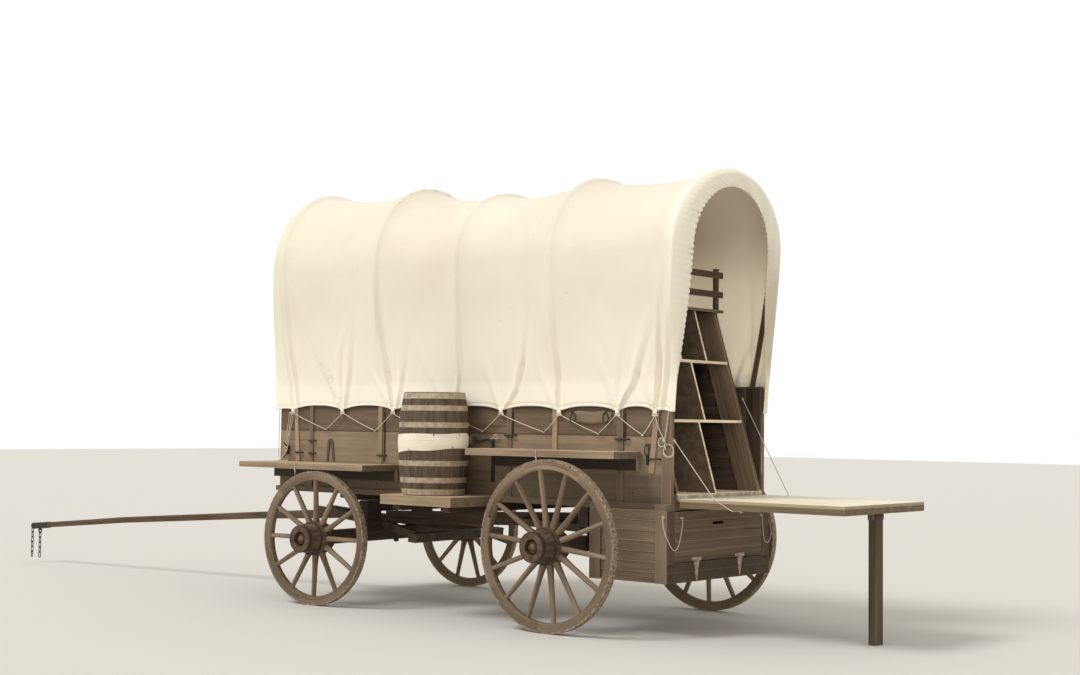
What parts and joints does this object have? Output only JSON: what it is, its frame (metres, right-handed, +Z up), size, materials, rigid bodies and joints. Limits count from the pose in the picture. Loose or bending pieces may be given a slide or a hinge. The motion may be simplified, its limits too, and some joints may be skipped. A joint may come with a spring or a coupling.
{
  "type": "covered wagon",
  "caption": "Wooden covered wagon with a canvas bonnet on bows, spoked wheels, steered tongue, kitchen chest with drop table, tail boot, side shelves and water barrel.",
  "frame": {"origin": "on the floor, on the centre line, under the middle of the overall length from the tongue's tip to the table's end", "axes": "+X to the kitchen end, -X along the tongue, +Z up, near side with the barrel at -Y"},
  "size_m": [9.8803, 2.4844, 3.6239],
  "materials": {
    "weathered_wood": "dry weathered boards",
    "gear_wood": "dark oiled running gear",
    "wheel_wood": "dusty turned wood",
    "pale_wood": "bare pale planks",
    "barrel_wood": "grey staves",
    "canvas": "cream duck cloth",
    "tyre_iron": "rusty iron",
    "dark_iron": "dark forged iron",
    "hoop_iron": "pale riveted bands",
    "rope": "pale cotton rope"
  },
  "bodies": {
    "wagon": {"reach": "gear_wood", "rear_axle": "gear_wood", "rear_hounds": "gear_wood", "rear_bolster": "gear_wood", "front_bolster": "gear_wood", "king_bolt": "dark_iron", "sills": "weathered_wood", "box_floor": "weathered_wood", "side_boards_lower": "weathered_wood", "side_boards_upper": "weathered_wood", "front_board": "weathered_wood", "side_stakes": "weathered_wood", "bow_hoops": "pale_wood", "cover": "canvas", "chest_case": "weathered_wood", "chest_shelves": "weathered_wood", "chest_gallery": "gear_wood", "boot_walls": "weathered_wood", "boot_posts": "weathered_wood", "side_shelves": "weathered_wood", "shelf_ledgers": "weathered_wood", "barrel_platform": "pale_wood", "platform_bearers": "gear_wood", "barrel": "barrel_wood", "barrel_hoops": "hoop_iron", "barrel_band": "canvas", "table_hinge_fixed": "dark_iron", "boot_hinge_fixed": "dark_iron", "lacing_coil": "rope"},
    "front_gear": {"front_axle": "gear_wood", "sand_bolster": "gear_wood", "front_hounds": "gear_wood", "tongue": "wheel_wood", "tongue_iron": "dark_iron", "tongue_chains": "dark_iron"},
    "table": {"table_top": "pale_wood", "table_frame": "pale_wood", "table_hinge_leaf": "dark_iron"},
    "leg": {"table_leg": "pale_wood"},
    "boot_door": {"boot_door": "weathered_wood", "boot_hinge_leaf": "dark_iron", "door_cord_near": "rope", "door_cord_far": "rope"},
    "wheel_front_near": {"tyre_front_near": "tyre_iron", "felloes_front_near": "wheel_wood", "nave_front_near": "wheel_wood", "spokes_front_near": "wheel_wood"},
    "wheel_front_far": {"tyre_front_far": "tyre_iron", "felloes_front_far": "wheel_wood", "nave_front_far": "wheel_wood", "spokes_front_far": "wheel_wood"},
    "wheel_rear_near": {"tyre_rear_near": "tyre_iron", "felloes_rear_near": "wheel_wood", "nave_rear_near": "wheel_wood", "spokes_rear_near": "wheel_wood"},
    "wheel_rear_far": {"tyre_rear_far": "tyre_iron", "felloes_rear_far": "wheel_wood", "nave_rear_far": "wheel_wood", "spokes_rear_far": "wheel_wood"}
  },
  "joints": [
    {"name": "steering", "type": "hinge", "parent": "wagon", "child": "front_gear", "pos_m": [0.12, 0, 0.7], "axis": [0, 0, 1], "range_deg": [-35.2, 24.8]},
    {"name": "turn_front_near", "type": "hinge", "parent": "front_gear", "child": "wheel_front_near", "pos_m": [0.21539, -1.04817, 0.557], "axis": [0.0906, -0.9959, 0], "continuous": true},
    {"name": "turn_front_far", "type": "hinge", "parent": "front_gear", "child": "wheel_front_far", "pos_m": [0.02461, 1.04817, 0.557], "axis": [-0.0906, 0.9959, 0], "continuous": true},
    {"name": "turn_rear_near", "type": "hinge", "parent": "wagon", "child": "wheel_rear_near", "pos_m": [2.75, -1.0525, 0.635], "axis": [0, -1, 0], "continuous": true},
    {"name": "turn_rear_far", "type": "hinge", "parent": "wagon", "child": "wheel_rear_far", "pos_m": [2.75, 1.0525, 0.635], "axis": [0, 1, 0], "continuous": true},
    {"name": "table_hinge", "type": "hinge", "parent": "wagon", "child": "table", "pos_m": [3.586, 0, 1], "axis": [0, -1, 0], "range_deg": [0, 106.5]},
    {"name": "leg_hinge", "type": "hinge", "parent": "table", "child": "leg", "pos_m": [4.786, 0.14, 0.9], "axis": [0, 1, 0], "range_deg": [0, 90]},
    {"name": "boot_door_hinge", "type": "hinge", "parent": "wagon", "child": "boot_door", "pos_m": [3.566, 0, 0.536], "axis": [0, 1, 0], "range_deg": [0, 90]}
  ]
}
